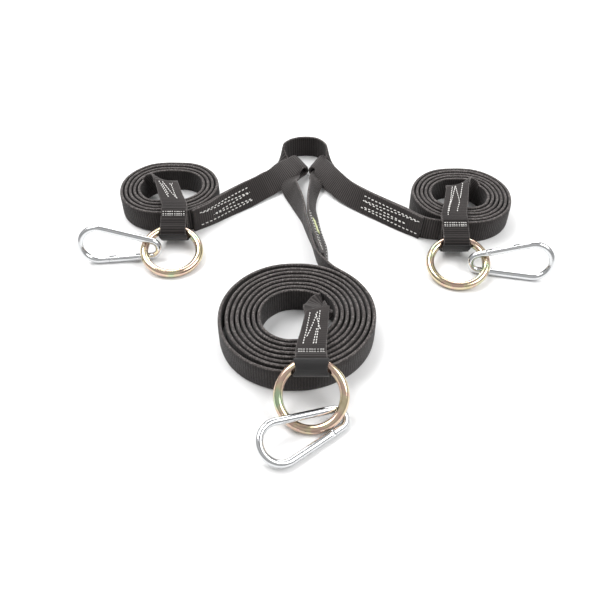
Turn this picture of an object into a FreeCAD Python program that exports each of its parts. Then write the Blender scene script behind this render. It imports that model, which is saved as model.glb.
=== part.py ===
"""Three-leg webbing suspension strap: coiled webbing legs, welded rings and spring snap hooks.

Frame: +X to the right leg, +Y from the front leg to the back, +Z up, millimetres.
The straps lie on z = 0 and the origin is the centre of the footprint.
"""
import FreeCAD, Part
import math
import os

os.makedirs("parts", exist_ok=True)

V = FreeCAD.Vector
X_AXIS, Y_AXIS, Z_AXIS = V(1, 0, 0), V(0, 1, 0), V(0, 0, 1)

SIZES = {
    # webbing
    "webbing_width": 25.0, "webbing_thick": 2.8, "sewn_thick": 5.6, "bunch_width": 10.0, "bunch_thick": 5.2,
    # welded ring and the sewn loop that holds it
    "ring_radius": 26.2, "ring_wire": 7.6, "loop_hole": 6.45, "loop_ahead": 1.6,
    "sleeve_thick": 0.8, "sleeve_width": 28.0, "sleeve_gap": 46.0,
    # spring snap hook
    "hook_span": 49.5, "hook_wire": 6.4, "wide_bend": 16.2, "narrow_bend": 7.9,
    "nose_reach": 8.5, "knuckle_reach": 8.0, "tongue_thick": 2.4, "tongue_high": 5.0, "tongue_long": 5.0,
    "fork_slot": 3.0, "fork_deep": 6.6, "gate_start": 1.5, "gate_end": 0.4, "pivot_at": 3.0, "latch_at": 2.6,
    "rivet_across": 2.5, "rivet_play": 0.1, "rivet_long": 6.2,
    "pin_across": 1.6, "pin_long": 6.0, "notch_wide": 2.2,
    "bore_across": 3.2, "bore_long": 15.0, "spring_across": 2.2, "spring_wire": 0.4, "spring_pitch": 0.9,
    "spring_long": 9.0, "plunger_across": 2.8, "plunger_long": 4.5,
    # sewn eyes round the centre loop
    "eye_width": 18.0, "eye_low": 1.7, "eye_high": 14.6, "eye_mid": 8.15, "eye_ramp": 11.0,
    # label sewn to the front leg
    "label_long": 16.0, "label_high": 7.0, "label_thick": 0.6,
    # centre of the footprint in the layout's coordinates
    "origin_x": 0.23, "origin_y": 0.63,
}

# each leg: coil, ring, hook and sewn tab; the leg's own numbers
LEG_KEYS = ("coil_x", "coil_y", "coil_turns", "coil_bend", "coil_run", "coil_pitch", "coil_start", "coil_hand",
            "ring_x", "ring_y", "ring_lean", "ring_roll",
            "hook_x", "hook_y", "hook_z", "hook_yaw", "hook_pitch", "hook_roll",
            "tab_bend_y", "tab_bend_z", "tab_end_y", "tab_end_z", "loop_lift")
LEGS = {
    "left": (-145.3, 116.1, 4.35, 43.8, 16.0, 4.5, -80.0, 1.0, -135.29, 6.22, 13.03, -4.69,
             -155.93, 32.98, 11.83, 181.95, 7.84, 108.97, 69.0, 29.3, 106.0, 28.6, 0.0),
    "right": (150.8, 102.9, 5.4, 46.2, 10.5, 4.3, -80.0, -1.0, 137.46, -10.64, 13.68, 4.13,
              157.11, 14.04, 10.88, -7.46, 8.87, -109.78, 53.5, 29.3, 90.0, 28.6, 0.0),
    "front": (-15.2, -63.6, 8.0, 63.9, 5.3, 4.6, 50.0, 1.0, -3.26, -168.89, 36.84, 4.16,
              16.21, -160.85, 6.54, 209.21, 4.74, 155.48, -118.0, 31.5, -74.0, 28.4, 0.35),
}

# sewn webbing along its centreline: x, y, z, heading, lean, width, thickness
LEFT_ARM = (
    (-119.0, 75.6, 12.7, 24, -2, 25, 5.6), (-104.3, 83.6, 12.8, 37, -5, 25, 5.6),
    (-86.5, 100.0, 12.8, 41, -20, 25, 5.6), (-73.0, 112.2, 11.9, 42, -45, 25, 5.6),
    (-62.0, 121.8, 9.9, 43, -68, 23, 5.6))
RIGHT_ARM = (
    (126.0, 59.6, 12.7, 166, 3, 25, 5.6), (108.0, 64.9, 12.8, 151, 8, 25, 5.6),
    (88.0, 79.0, 12.9, 142, 14, 25, 5.6), (66.0, 97.5, 12.7, 137, 25, 25, 5.6),
    (54.0, 109.4, 11.4, 133, 50, 25, 5.6), (45.5, 118.3, 9.6, 130, 70, 23, 5.6))
FRONT_STEM = (
    (17.5, -3.5, 12.5, 122, 0, 25, 2.8), (13.4, 5.0, 12.5, 106, 0, 25, 2.8),
    (11.4, 14.0, 12.5, 99, 0, 25, 5.6), (7.6, 37.0, 12.5, 99, 0, 25, 5.6),
    (3.4, 58.0, 12.5, 102, 0, 25, 5.6), (-1.2, 76.0, 12.5, 105, 0, 25, 5.6),
    (-4.4, 88.0, 12.5, 105, 0, 25, 5.6))
FRONT_EYE = (
    (-5.752, 87.638, 12.5, 105, 0, 25, 2.8), (-11.5, 101.5, 12.6, 116, 15, 24, 2.8),
    (-18.5, 113.5, 10.8, 119, 50, 18, 3.8), (-26.0, 126.0, 8.2, 116, 90, 10, 5.2),
    (-32.0, 140.0, 8.2, 104, 90, 10, 5.2), (-34.8, 155.0, 8.2, 93, 90, 10, 5.2),
    (-34.8, 169.0, 8.2, 86, 90, 10, 5.2), (-32.5, 180.0, 10.8, 73, 50, 18, 3.8),
    (-28.0, 190.0, 12.6, 56, 10, 25, 2.8), (-19.5, 199.0, 12.5, 34, 0, 25, 2.8),
    (-8.5, 203.3, 12.5, 3, 0, 25, 2.8), (3.5, 201.0, 12.5, -28, 0, 25, 2.8),
    (13.5, 193.0, 12.6, -50, 10, 25, 2.8), (20.3, 183.5, 10.8, -65, 50, 18, 3.8),
    (23.7, 172.5, 8.2, -80, 90, 10, 5.2), (24.3, 161.0, 8.2, -91, 90, 10, 5.2),
    (22.5, 149.5, 8.2, -106, 90, 10, 5.2), (17.6, 137.5, 8.2, -115, 90, 10, 5.2),
    (11.6, 125.0, 8.4, -115, 88, 12, 5.0), (6.0, 113.0, 11.0, -114, 45, 20, 3.4),
    (0.9, 100.5, 12.6, -110, 12, 25, 2.8), (-3.048, 88.362, 12.5, -75, 0, 25, 2.8))
ARM_ENDS = {"left": (-51.0, 131.0, -14.5, 171.5), "right": (38.0, 127.0, 4.5, 174.5)}

doc = FreeCAD.newDocument("three_leg_strap")
sheet = doc.addObject("Spreadsheet::Sheet", "Sizes")
NODES = []


def fill_sheet():
    """Write every driving dimension into the sheet, one row each."""
    rows = dict(SIZES)
    for leg, values in LEGS.items():
        rows.update({leg + "_" + key: value for key, value in zip(LEG_KEYS, values)})
    for row, (alias, value) in enumerate(rows.items(), start=1):
        sheet.set("A%d" % row, alias)
        sheet.set("B%d" % row, str(value))
        sheet.setAlias("B%d" % row, alias)
    doc.recompute()


def size(alias):
    """A driving dimension as the sheet holds it."""
    return float(sheet.get(alias))


def bind(obj, **sizes):
    """Bind properties to expressions over the sheet's cells."""
    for prop, expression in sizes.items():
        obj.setExpression(prop, expression)


def keep(obj, label):
    """Give a finished sub-part the name of its file."""
    obj.Label = label
    NODES.append(obj)
    return obj


def origin_plane(body, role):
    return next(f for f in body.Origin.OriginFeatures if f.Role == role)


def sketch_on(body, role, name):
    sketch = body.newObject("Sketcher::SketchObject", name)
    sketch.AttachmentSupport = [(origin_plane(body, role), "")]
    sketch.MapMode = "FlatFace"
    return sketch


def new_body(name):
    return doc.addObject("PartDesign::Body", name)


def combine(kind, name, base, tool):
    """A Part boolean of two objects."""
    obj = doc.addObject(kind, name)
    obj.Base = base
    obj.Tool = tool
    return obj


def union(name, shapes):
    obj = doc.addObject("Part::MultiFuse", name)
    obj.Shapes = shapes
    return obj


# ---------------------------------------------------------------- webbing coils

def half_turns(leg):
    """A coil from its outer end inwards: centre, radius, start and end angle of each arc."""
    pitch = size(leg + "_coil_pitch")
    radius = size(leg + "_coil_bend")
    run = size(leg + "_coil_run") / 2
    angle = size(leg + "_coil_start")
    left = size(leg + "_coil_turns") * 360.0
    arcs, on_right = [], True
    while left > 0.01:
        end = -90.0 if on_right else -270.0
        sweep = min(angle - end, left)
        centre = V(run, 0, 0) if on_right else V(-run, -pitch / 2, 0)
        arcs.append((centre, radius, angle, angle - sweep))
        radius -= pitch / 2
        left -= sweep
        on_right = not on_right
        angle = 90.0 if on_right else -90.0
    return arcs


def arc_point(leg, centre, radius, degrees):
    """A point of a coil's arc, mirrored for a coil of the other hand."""
    turn = math.radians(degrees)
    point = centre + V(radius * math.cos(turn), radius * math.sin(turn), 0)
    return V(point.x * size(leg + "_coil_hand"), point.y, 0)


def coil_edge(leg, offset):
    """One face of the webbing in plan: arcs joined by the straight runs."""
    curves, last = [], None
    for centre, radius, start, end in half_turns(leg):
        first, middle, final = (arc_point(leg, centre, radius + offset, a) for a in (start, (start + end) / 2, end))
        if last is not None:
            curves.append(Part.LineSegment(last, first))
        curves.append(Part.Arc(first, middle, final))
        last = final
    return curves


def coil_end(leg, outer):
    """Place and outward heading of one end of a coil's centreline."""
    centre, radius, start, end = half_turns(leg)[0 if outer else -1]
    angle = start if outer else end
    point = arc_point(leg, centre, radius, angle)
    heading = angle + 90.0
    if size(leg + "_coil_hand") < 0:
        heading = 180.0 - heading
    return point + V(size(leg + "_coil_x"), size(leg + "_coil_y"), 0), heading


def make_coil(leg):
    """The coiled webbing, standing on edge."""
    body = new_body(leg + "_coil_body")
    sketch = sketch_on(body, "XY_Plane", leg + "_coil_outline")
    half = size("webbing_thick") / 2
    arcs = half_turns(leg)
    for curve in coil_edge(leg, half) + coil_edge(leg, -half):
        sketch.addGeometry(curve, False)
    for centre, radius, angle in ((arcs[0][0], arcs[0][1], arcs[0][2]), (arcs[-1][0], arcs[-1][1], arcs[-1][3])):
        across = [arc_point(leg, centre, radius + side, angle) for side in (half, -half)]
        sketch.addGeometry(Part.LineSegment(*across), False)
    pad = body.newObject("PartDesign::Pad", leg + "_coil_pad")
    pad.Profile = sketch
    bind(pad, Length="Sizes.webbing_width")
    body.Placement = FreeCAD.Placement(V(size(leg + "_coil_x"), size(leg + "_coil_y"), 0), FreeCAD.Rotation())
    keep(body, leg + "_strap_coil")


# ---------------------------------------------------------------- lofted webbing

def section(name, station):
    """A cross-section of webbing at a station of its path."""
    x, y, z, heading, lean, width, thick = station
    turn, tip = math.radians(heading), math.radians(lean)
    along = V(math.cos(turn), math.sin(turn), 0)
    right = V(math.sin(turn), -math.cos(turn), 0)
    across = Z_AXIS * math.cos(tip) + right * math.sin(tip)
    plane = doc.addObject("Part::Plane", name)
    plane.Length = width
    plane.Width = thick
    named = (("Length", width, ("webbing_width", "bunch_width")),
             ("Width", thick, ("webbing_thick", "sewn_thick", "bunch_thick")))
    for prop, value, aliases in named:
        for alias in aliases:
            if value == size(alias):
                bind(plane, **{prop: "Sizes." + alias})
    through = along.cross(across)
    corner = V(x, y, z) - across * (width / 2) - through * (thick / 2)
    plane.Placement = FreeCAD.Placement(corner, FreeCAD.Rotation(across, through, along, "XYZ"))
    return plane


def loft_webbing(label, stations):
    """Webbing that bends and twists along its path."""
    loft = doc.addObject("Part::Loft", label + "_loft")
    loft.Sections = [section("%s_cut_%02d" % (label, i), s) for i, s in enumerate(stations)]
    loft.Solid = True
    loft.Ruled = True
    keep(loft, label)


def eye_line(leg):
    """Start of a leg's eye, its heading and its reach."""
    x0, y0, x1, y1 = ARM_ENDS[leg]
    return V(x0, y0, 0), math.degrees(math.atan2(y1 - y0, x1 - x0)), math.hypot(x1 - x0, y1 - y0)


def make_arm(leg, stations, label):
    """The sewn run from a coil's outer end to the centre."""
    place, heading = coil_end(leg, True)
    width = size("webbing_width")
    path = [(place.x, place.y, width / 2, heading, 0, width, size("webbing_thick"))] + list(stations)
    if leg in ARM_ENDS:
        meet, course, _ = eye_line(leg)
        flat = -90 * size(leg + "_coil_hand")
        path.append((meet.x, meet.y, size("eye_mid"), course, flat, size("eye_width"), size("sewn_thick")))
    loft_webbing(label, path)


def make_rise(leg):
    """The webbing that climbs out of the coil's hole and lies down to become the sewn tab."""
    place, heading = coil_end(leg, False)
    width, thick = size("webbing_width"), size("webbing_thick")
    hand = size(leg + "_coil_hand")
    start = V(size(leg + "_ring_x"), size(leg + "_tab_end_y"), size(leg + "_tab_end_z") - thick / 2)
    final = V(place.x, place.y, width / 2)
    turn = math.radians(heading)
    pull = 1.3 * math.hypot(final.x - start.x, final.y - start.y)
    leave, arrive = V(0, pull, 0), V(pull * math.cos(turn), pull * math.sin(turn), 0)
    stations, steps = [], 10
    for i in range(steps + 1):
        t = i / steps
        ease = t * t * (3 - 2 * t)
        point = start * (1 - ease) + final * ease + leave * (t * (1 - t) ** 2) - arrive * (t * t * (1 - t))
        slope = (final - start) * (6 * t * (1 - t)) + leave * ((1 - t) * (1 - 3 * t)) + arrive * (t * (3 * t - 2))
        course = math.degrees(math.atan2(slope.y, slope.x))
        stations.append((point.x, point.y, point.z, course, -90.0 * hand * (1 - ease), width, thick))
    loft_webbing(leg + "_strap_rise", stations)


# ---------------------------------------------------------------- sewn eyes round the centre loop

def make_eye(leg):
    """A flat sewn eye: two layers of webbing joined by a fold."""
    meet, heading, reach = eye_line(leg)
    low, high, mid = size("eye_low"), size("eye_high"), size("eye_mid")
    thick, ramp = size("webbing_thick"), size("eye_ramp")
    bend = reach - (high - low) / 2
    body = new_body(leg + "_eye_body")
    sketch = sketch_on(body, "XZ_Plane", leg + "_eye_outline")
    outline(sketch, [(0, mid - thick), (ramp, low), (bend, low)], (reach, mid),
            [(bend, high), (ramp, high), (0, mid + thick)])
    outline(sketch, [(2.0, mid), (ramp, low + thick), (bend, low + thick)], (reach - thick, mid),
            [(bend, high - thick), (ramp, high - thick)])
    pad = body.newObject("PartDesign::Pad", leg + "_eye_pad")
    pad.Profile = sketch
    bind(pad, Length="Sizes.eye_width")
    sketch.AttachmentOffset = FreeCAD.Placement(V(0, 0, -size("eye_width") / 2), FreeCAD.Rotation())
    body.Placement = FreeCAD.Placement(meet, FreeCAD.Rotation(Z_AXIS, heading))
    keep(body, leg + "_strap_eye")


def outline(sketch, before, tip, after):
    """A closed outline of lines with one arc through its tip."""
    for start, end in list(zip(before, before[1:])) + list(zip(after, after[1:])) + [(after[-1], before[0])]:
        sketch.addGeometry(Part.LineSegment(V(*start, 0), V(*end, 0)), False)
    sketch.addGeometry(Part.Arc(V(*before[-1], 0), V(*tip, 0), V(*after[0], 0)), False)


# ---------------------------------------------------------------- sewn tab, sleeve and ring

def ring_axes(leg):
    """Centre of a ring, the direction to its far side and its normal."""
    lean, roll = (math.radians(size(leg + key)) for key in ("_ring_lean", "_ring_roll"))
    radius = size("ring_radius")
    drop = math.hypot(math.sin(roll) * math.cos(lean), math.sin(lean))
    far = V(0, math.cos(lean), math.sin(lean))
    up = V(0, -math.sin(lean), math.cos(lean))
    centre = V(size(leg + "_ring_x"), size(leg + "_ring_y") + radius * math.cos(lean),
               size("ring_wire") / 2 + radius * drop)
    return centre, far, up


def loop_centre(leg):
    """Centre of the sewn loop's hole, which is the axis the ring swings about."""
    centre, far, up = ring_axes(leg)
    return centre + far * (size("ring_radius") - size("loop_ahead")) + up * size(leg + "_loop_lift")


def make_ring(leg):
    """The welded ring."""
    ring = doc.addObject("Part::Torus", leg + "_ring_torus")
    bind(ring, Radius1="Sizes.ring_radius", Radius2="Sizes.ring_wire / 2")
    lean = FreeCAD.Rotation(X_AXIS, size(leg + "_ring_lean"))
    roll = FreeCAD.Rotation(Y_AXIS, -size(leg + "_ring_roll"))
    ring.Placement = FreeCAD.Placement(ring_axes(leg)[0], lean.multiply(roll))
    keep(ring, leg + "_ring")


def profile_body(leg, name, width_alias, draw):
    """A body padded along X, centred on the leg's ring."""
    body = new_body("%s_%s_body" % (leg, name))
    sketch = sketch_on(body, "YZ_Plane", "%s_%s_outline" % (leg, name))
    draw(sketch)
    pad = body.newObject("PartDesign::Pad", "%s_%s_pad" % (leg, name))
    pad.Profile = sketch
    bind(pad, Length="Sizes." + width_alias)
    body.Placement = FreeCAD.Placement(V(size(leg + "_ring_x") - size(width_alias) / 2, 0, 0), FreeCAD.Rotation())
    return body


def polar(centre, radius, turn):
    return V(centre.x + radius * math.cos(turn), centre.y + radius * math.sin(turn), 0)


def draw_tab(leg, sketch):
    """The loop round the ring and the double layer that lies back over the coil."""
    eye = loop_centre(leg)
    centre = V(eye.y, eye.z, 0)
    bend = V(size(leg + "_tab_bend_y"), size(leg + "_tab_bend_z"), 0)
    end = V(size(leg + "_tab_end_y"), size(leg + "_tab_end_z"), 0)
    half, outside = size("sewn_thick") / 2, size("loop_hole") + size("webbing_thick")
    climb, flat = (bend - centre).normalize(), (end - bend).normalize()
    side, level = V(-climb.y, climb.x, 0), V(-flat.y, flat.x, 0)
    mitre = (side + level).normalize()
    mitre = mitre * (half / mitre.dot(side))
    leave = math.sqrt(outside ** 2 - half ** 2)
    top = [centre + climb * leave + side * half, bend + mitre, end + level * half]
    bottom = [end - level * half, bend - mitre, centre + climb * leave - side * half]
    points = top + bottom
    for first, second in zip(points, points[1:]):
        sketch.addGeometry(Part.LineSegment(first, second), False)
    sketch.addGeometry(Part.Arc(points[-1], centre - climb * outside, points[0]), False)
    sketch.addGeometry(Part.Circle(centre, V(0, 0, 1), size("loop_hole")), False)


def draw_sleeve(leg, sketch):
    """The wear sleeve, wrapped round the loop and open where the tab leaves."""
    eye = loop_centre(leg)
    centre = V(eye.y, eye.z, 0)
    climb = math.atan2(size(leg + "_tab_bend_z") - eye.z, size(leg + "_tab_bend_y") - eye.y)
    gap = math.radians(size("sleeve_gap")) / 2
    inner = size("loop_hole") + size("webbing_thick")
    outer = inner + size("sleeve_thick")
    for radius in (inner, outer):
        points = [polar(centre, radius, climb + turn) for turn in (gap, math.pi, -gap)]
        sketch.addGeometry(Part.Arc(*points), False)
    for turn in (gap, -gap):
        ends = [polar(centre, radius, climb + turn) for radius in (inner, outer)]
        sketch.addGeometry(Part.LineSegment(*ends), False)


def make_tab(leg):
    tab = profile_body(leg, "tab", "webbing_width", lambda sketch: draw_tab(leg, sketch))
    keep(tab, leg + "_ring_tab")
    sleeve = profile_body(leg, "sleeve", "sleeve_width", lambda sketch: draw_sleeve(leg, sketch))
    keep(sleeve, leg + "_wear_sleeve")


# ---------------------------------------------------------------- snap hook

def hook_place(leg):
    """The hook's frame: origin at its narrow bend, x to its wide bend, z normal to its plane."""
    turn = FreeCAD.Rotation(size(leg + "_hook_yaw"), -size(leg + "_hook_pitch"), size(leg + "_hook_roll"))
    return FreeCAD.Placement(V(*(size(leg + key) for key in ("_hook_x", "_hook_y", "_hook_z"))), turn)


def side_slope():
    """Slope of the hook's straight sides, in radians."""
    return math.asin((size("wide_bend") - size("narrow_bend")) / size("hook_span"))


def side_point(radius, centre_x, side):
    slope = side_slope()
    return V(centre_x - radius * math.sin(slope), side * radius * math.cos(slope), 0)


def gate_place():
    """The gate's frame in the hook: origin at the knuckle's end, x towards the nose, y inwards."""
    along = gate_line()
    start = side_point(size("narrow_bend"), 0, -1) + along * size("knuckle_reach")
    return FreeCAD.Placement(start, FreeCAD.Rotation(Z_AXIS, -math.degrees(side_slope())))


def gate_line():
    return V(math.cos(side_slope()), -math.sin(side_slope()), 0)


def mouth():
    """Distance between the knuckle's end and the nose's end."""
    side = size("hook_span") * math.cos(side_slope())
    return side - size("nose_reach") - size("knuckle_reach")


def cylinder(name, radius, height, place, **sizes):
    obj = doc.addObject("Part::Cylinder", name)
    obj.Radius, obj.Height = radius, height
    bind(obj, **sizes)
    obj.Placement = place
    return obj


def box(name, corner, opposite, place=None):
    """A block between two corners of the frame it is placed in."""
    obj = doc.addObject("Part::Box", name)
    obj.Length, obj.Width, obj.Height = (b - a for a, b in zip(corner, opposite))
    obj.Placement = (place or FreeCAD.Placement()).multiply(FreeCAD.Placement(V(*corner), FreeCAD.Rotation()))
    return obj


def at(x, y, z, turn=None):
    return FreeCAD.Placement(V(x, y, z), turn or FreeCAD.Rotation())


ALONG_X = FreeCAD.Rotation(Y_AXIS, 90)


def bow_sweep(leg):
    """The bent wire of the hook, from its nose round both bends to its knuckle."""
    wide, narrow, span = size("wide_bend"), size("narrow_bend"), size("hook_span")
    along = gate_line()
    spine = doc.addObject("Sketcher::SketchObject", leg + "_hook_line")
    corners = [side_point(wide, span, -1), side_point(wide, span, 1),
               side_point(narrow, 0, 1), side_point(narrow, 0, -1)]
    nose, knuckle = corners[0] - along * size("nose_reach"), corners[3] + along * size("knuckle_reach")
    spine.addGeometry(Part.LineSegment(nose, corners[0]), False)
    spine.addGeometry(Part.Arc(corners[0], V(span + wide, 0, 0), corners[1]), False)
    spine.addGeometry(Part.LineSegment(corners[1], corners[2]), False)
    spine.addGeometry(Part.Arc(corners[2], V(-narrow, 0, 0), corners[3]), False)
    spine.addGeometry(Part.LineSegment(corners[3], knuckle), False)
    wire = doc.addObject("Part::Circle", leg + "_hook_section")
    bind(wire, Radius="Sizes.hook_wire / 2")
    wire.Placement = FreeCAD.Placement(nose, FreeCAD.Rotation(Z_AXIS, along))
    sweep = doc.addObject("Part::Sweep", leg + "_hook_bow")
    sweep.Sections = [wire]
    sweep.Spine = (spine, ["Edge%d" % i for i in range(1, 6)])
    sweep.Solid = True
    sweep.Frenet = False
    return sweep


def make_hook_body(leg):
    gate, gap = gate_place(), mouth()
    half, high, pivot = size("tongue_thick") / 2, size("tongue_high") / 2, size("pivot_at")
    name = leg + "_hook_"
    ear = box(name + "ear", (-2.0, -high, -half), (pivot, high, half), gate)
    tip = cylinder(name + "ear_tip", high, 2 * half, gate.multiply(at(pivot, 0, -half)),
                   Radius="Sizes.tongue_high / 2", Height="Sizes.tongue_thick")
    nose = box(name + "nose", (gap - size("tongue_long"), -high, -half), (gap + 2.0, 1.6, half), gate)
    solid = union(name + "solid", [bow_sweep(leg), ear, tip, nose])
    hole = cylinder(name + "hole", 1.0, 8.0, gate.multiply(at(pivot, 0, -4)), Radius="Sizes.rivet_across / 2")
    centre, wide = gap - size("latch_at"), size("notch_wide") / 2
    notch = box(name + "notch", (centre - wide, -wide, -2.0), (centre + wide, 4.0, 2.0), gate)
    body = combine("Part::Cut", name + "cut", solid, union(name + "cuts", [hole, notch]))
    body.Placement = hook_place(leg)
    keep(body, leg + "_hook_body")


def make_gate(leg):
    """The gate tube: forked at both ends, drilled for its rivet and bored for its spring."""
    gap, radius, pivot = mouth(), size("hook_wire") / 2, size("pivot_at")
    start, end = size("gate_start"), gap - size("gate_end")
    slot, deep = size("fork_slot") / 2, size("fork_deep")
    name = leg + "_gate_"
    tube = cylinder(name + "tube", radius, end - start, at(start, 0, 0, ALONG_X), Radius="Sizes.hook_wire / 2")
    cuts = [
        box(name + "hinge_slot", (0, -5, -slot), (deep, 5, slot)),
        box(name + "nose_slot", (end - deep, -5, -slot), (gap + 1, 5, slot)),
        cylinder(name + "rivet_hole", 1.0, 8, at(pivot, 0, -4), Radius="(Sizes.rivet_across + Sizes.rivet_play) / 2"),
        cylinder(name + "pin_hole", 1.0, 8, at(gap - size("latch_at"), 0, -4), Radius="Sizes.pin_across / 2"),
        cylinder(name + "bore", 1.0, size("bore_long"), at(deep - 0.5, 0, 0, ALONG_X), Radius="Sizes.bore_across / 2"),
    ]
    gate = combine("Part::Cut", name + "cut", tube, union(name + "cuts", cuts))
    gate.Placement = hook_place(leg).multiply(gate_place())
    keep(gate, leg + "_hook_gate")


def make_pins(leg):
    """The rivet the gate turns on and the pin that latches it."""
    place = hook_place(leg).multiply(gate_place())
    reach = size("rivet_long") / 2
    rivet = cylinder(leg + "_rivet", 1.0, 2 * reach, place.multiply(at(size("pivot_at"), 0, -reach)),
                     Radius="Sizes.rivet_across / 2", Height="Sizes.rivet_long")
    keep(rivet, leg + "_gate_rivet")
    half = size("pin_long") / 2
    pin = cylinder(leg + "_pin", 1.0, 2 * half, place.multiply(at(mouth() - size("latch_at"), 0, -half)),
                   Radius="Sizes.pin_across / 2", Height="Sizes.pin_long")
    keep(pin, leg + "_latch_pin")


def make_spring(leg):
    """The gate's return spring and the plunger it pushes against the knuckle's tongue."""
    place = hook_place(leg).multiply(gate_place())
    tip = size("pivot_at") + size("tongue_high") / 2 + 0.4
    plunger = cylinder(leg + "_plunger", 1.0, 1.0, place.multiply(at(tip, 0, 0, ALONG_X)),
                       Radius="Sizes.plunger_across / 2", Height="Sizes.plunger_long")
    keep(plunger, leg + "_gate_plunger")
    coil = doc.addObject("Part::Helix", leg + "_spring_line")
    bind(coil, Pitch="Sizes.spring_pitch", Height="Sizes.spring_long",
         Radius="(Sizes.spring_across - Sizes.spring_wire) / 2")
    wire = doc.addObject("Part::Circle", leg + "_spring_section")
    bind(wire, Radius="Sizes.spring_wire / 2")
    wire.Placement = at((size("spring_across") - size("spring_wire")) / 2, 0, 0, FreeCAD.Rotation(X_AXIS, 90))
    spring = doc.addObject("Part::Sweep", leg + "_spring_wire")
    spring.Sections = [wire]
    spring.Spine = (coil, [])
    spring.Solid = True
    spring.Frenet = True
    spring.Placement = place.multiply(at(tip + size("plunger_long") + 0.3, 0, 0, ALONG_X))
    keep(spring, leg + "_gate_spring")


# ---------------------------------------------------------------- label

def make_label():
    """The small label sewn to the right face of the front leg."""
    x, y, heading = 6.25, 47.5, 101.0
    label = doc.addObject("Part::Box", "label_block")
    bind(label, Length="Sizes.label_long", Width="Sizes.label_thick", Height="Sizes.label_high")
    label.Placement = FreeCAD.Placement(V(x + 2.75, y, 15.0), FreeCAD.Rotation(Z_AXIS, heading))
    keep(label, "front_label")


def build():
    fill_sheet()
    for leg in LEGS:
        make_coil(leg)
        make_rise(leg)
        make_tab(leg)
        make_ring(leg)
        make_hook_body(leg)
        make_gate(leg)
        make_pins(leg)
        make_spring(leg)
    make_arm("left", LEFT_ARM, "left_strap_arm")
    make_arm("right", RIGHT_ARM, "right_strap_arm")
    make_arm("front", FRONT_STEM, "front_strap_stem")
    make_eye("left")
    make_eye("right")
    loft_webbing("front_strap_eye", FRONT_EYE)
    make_label()
    doc.recompute()
    centre = FreeCAD.Placement(V(-size("origin_x"), -size("origin_y"), 0), FreeCAD.Rotation())
    for node in NODES:
        node.Placement = centre.multiply(node.Placement)
    doc.recompute()


def export_parts():
    """Check every object, then write one file per sub-part."""
    for obj in doc.Objects:
        if "Invalid" in obj.State or "Error" in obj.State:
            raise RuntimeError("%s did not build: %s" % (obj.Name, obj.State))
    for node in NODES:
        shape = node.Shape
        if shape.isNull() or not shape.isValid() or not shape.Solids:
            raise RuntimeError("%s has no valid solid" % node.Label)
        shape.exportStep("parts/%s.step" % node.Label)


build()
export_parts()
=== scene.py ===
"""Looks of the three-leg webbing suspension strap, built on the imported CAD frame.

Path numbers are millimetres in the CAD part's layout, whose footprint centre is ORIGIN.
Every mesh is made in metres, in the CAD frame.
"""
import math
import bpy
import numpy as np
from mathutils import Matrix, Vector


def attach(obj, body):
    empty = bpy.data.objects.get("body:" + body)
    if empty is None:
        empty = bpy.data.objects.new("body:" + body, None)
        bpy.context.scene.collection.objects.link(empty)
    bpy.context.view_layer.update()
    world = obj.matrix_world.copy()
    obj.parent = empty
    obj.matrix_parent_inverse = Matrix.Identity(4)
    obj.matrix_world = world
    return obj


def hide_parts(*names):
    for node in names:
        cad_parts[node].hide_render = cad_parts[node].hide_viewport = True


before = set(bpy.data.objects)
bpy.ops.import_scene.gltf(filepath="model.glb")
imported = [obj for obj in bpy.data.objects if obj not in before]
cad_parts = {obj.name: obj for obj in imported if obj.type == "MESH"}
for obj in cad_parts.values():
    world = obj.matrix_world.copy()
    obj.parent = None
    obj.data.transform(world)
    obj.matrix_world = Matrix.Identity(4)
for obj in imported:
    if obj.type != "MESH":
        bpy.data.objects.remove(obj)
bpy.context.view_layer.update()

ORIGIN = np.array([0.23, 0.63, 0.0])
WIDTH, THICK = 25.0, 2.8
STEP = 0.6
RIB = 2.4
UP = np.array([0.0, 0.0, 1.0])

# coil: centre, turns, outer radius, straight run, pitch, start angle, hand
# tab: ring place, lean and roll, where the tab bends, and the two edges of its rear end
COILS = {
    "left": dict(x=-145.3, y=116.1, turns=4.35, bend=43.8, run=16.0, pitch=4.5, start=-80.0, hand=1.0),
    "right": dict(x=150.8, y=102.9, turns=5.4, bend=46.2, run=10.5, pitch=4.3, start=-80.0, hand=-1.0),
    "front": dict(x=-15.2, y=-63.6, turns=8.0, bend=63.9, run=5.3, pitch=4.6, start=50.0, hand=1.0),
}
TABS = {
    "left": dict(x=-135.29, y=6.22, lean=13.03, roll=-4.69, bend=(69.0, 29.3), lift=0.0,
                 rear=((-136.5, 113.5, 28), (-161, 117, 30))),
    "right": dict(x=137.46, y=-10.64, lean=13.68, roll=4.13, bend=(53.5, 29.3), lift=0.0,
                  rear=((136.5, 105.5, 28), (160.5, 112, 30))),
    "front": dict(x=-3.26, y=-168.89, lean=36.84, roll=4.16, bend=(-118.0, 31.5), lift=0.35,
                  rear=((13, -58, 25), (-7.8, -70, 31))),
}
RING_RADIUS, RING_WIRE = 26.2, 7.6

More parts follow.
